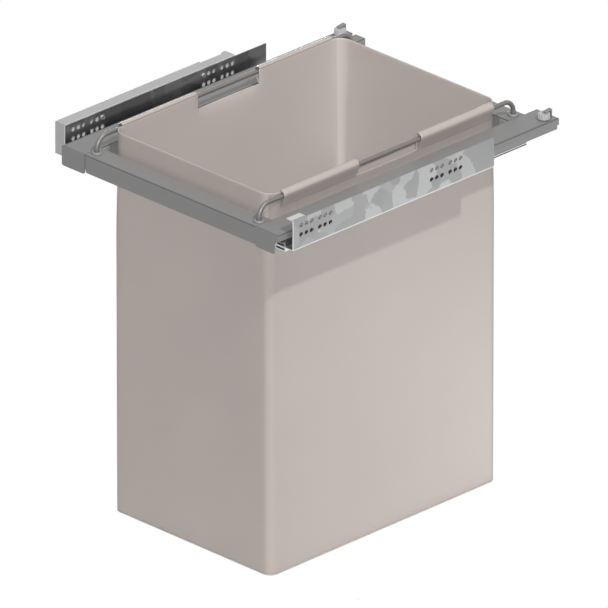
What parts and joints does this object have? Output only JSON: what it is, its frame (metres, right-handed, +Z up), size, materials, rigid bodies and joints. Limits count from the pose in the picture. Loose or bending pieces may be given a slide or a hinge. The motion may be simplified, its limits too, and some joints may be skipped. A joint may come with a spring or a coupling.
{
  "type": "pull-out laundry hamper",
  "caption": "Laundry hamper for a base cabinet: a rectangular bag hung on rods in a sheet-metal frame that pulls out on concealed full-extension runners.",
  "frame": {"origin": "middle of the footprint, on the level of the bag's base", "axes": "+Z up, +Y from the cabinet's front to its back, +X to the right seen from the front"},
  "size_m": [0.411, 0.4844, 0.5147],
  "materials": {
    "galvanised_steel": "galvanised sheet with spangle",
    "runner_steel": "rolled zinc-plated profile",
    "roller_steel": "ground",
    "cage_plastic": "moulded",
    "frame_paint": "grey powder coat",
    "bracket_steel": "grey zinc",
    "bushing_plastic": "moulded grey",
    "hook_steel": "dark zinc",
    "wheel_plastic": "translucent white",
    "rod_steel": "satin",
    "bag_cloth": "coated cloth, soft sheen",
    "base_board": "matt board",
    "spacer_plastic": "light grey",
    "fastener_steel": "zinc-plated"
  },
  "bodies": {
    "cabinet_side": {"left_cabinet_rail": "galvanised_steel", "right_cabinet_rail": "galvanised_steel", "hinge_side_spacer": "spacer_plastic", "spacer_screws": "fastener_steel"},
    "middle_rails": {"left_middle_rail": "runner_steel", "right_middle_rail": "runner_steel"},
    "lower_cages": {"left_lower_cage": "cage_plastic", "left_lower_rollers": "roller_steel", "right_lower_cage": "cage_plastic", "right_lower_rollers": "roller_steel"},
    "upper_cages": {"left_upper_cage": "cage_plastic", "left_upper_rollers": "roller_steel", "right_upper_cage": "cage_plastic", "right_upper_rollers": "roller_steel"},
    "left_wheel": {"left_adjuster_wheel": "wheel_plastic"},
    "right_wheel": {"right_adjuster_wheel": "wheel_plastic"},
    "bag": {"bag_base_panel": "base_board", "bag_shell": "bag_cloth", "front_left_sleeve": "bag_cloth", "front_right_sleeve": "bag_cloth", "left_hanging_rod": "rod_steel", "rear_left_sleeve": "bag_cloth", "rear_right_sleeve": "bag_cloth", "right_hanging_rod": "rod_steel"},
    "frame": {"frame_rivets": "fastener_steel", "front_crossbar": "frame_paint", "front_left_bracket": "bracket_steel", "front_left_bushing": "bushing_plastic", "front_right_bracket": "bracket_steel", "front_right_bushing": "bushing_plastic", "left_drawer_rail": "runner_steel", "left_rear_hook": "hook_steel", "left_side_channel": "frame_paint", "rear_crossbar": "frame_paint", "rear_left_bracket": "bracket_steel", "rear_left_bushing": "bushing_plastic", "rear_right_bracket": "bracket_steel", "rear_right_bushing": "bushing_plastic", "right_drawer_rail": "runner_steel", "right_rear_hook": "hook_steel", "right_side_channel": "frame_paint"}
  },
  "joints": [
    {"name": "frame_slide", "type": "slide", "parent": "cabinet_side", "child": "frame", "axis": [0, -1, 0], "range_m": [0, 0.45]},
    {"name": "middle_slide", "type": "slide", "parent": "cabinet_side", "child": "middle_rails", "axis": [0, -1, 0], "range_m": [0, 0.225]},
    {"name": "lower_cage_slide", "type": "slide", "parent": "cabinet_side", "child": "lower_cages", "axis": [0, -1, 0], "range_m": [0, 0.1125]},
    {"name": "upper_cage_slide", "type": "slide", "parent": "cabinet_side", "child": "upper_cages", "axis": [0, -1, 0], "range_m": [0, 0.3375]},
    {"name": "bag_lift", "type": "slide", "parent": "frame", "child": "bag", "axis": [0, 0, 1], "range_m": [0, 0.5]},
    {"name": "left_wheel_turn", "type": "hinge", "parent": "frame", "child": "left_wheel", "pos_m": [-0.1672, 0.22695, 0.4865], "axis": [0, 0, 1], "range_deg": [-180, 180]},
    {"name": "right_wheel_turn", "type": "hinge", "parent": "frame", "child": "right_wheel", "pos_m": [0.1842, 0.22695, 0.4865], "axis": [0, 0, 1], "range_deg": [-180, 180]}
  ],
  "couplings": [
    {"joint": "middle_slide", "follows": "frame_slide", "ratio": 0.5},
    {"joint": "lower_cage_slide", "follows": "frame_slide", "ratio": 0.25},
    {"joint": "upper_cage_slide", "follows": "frame_slide", "ratio": 0.75}
  ]
}
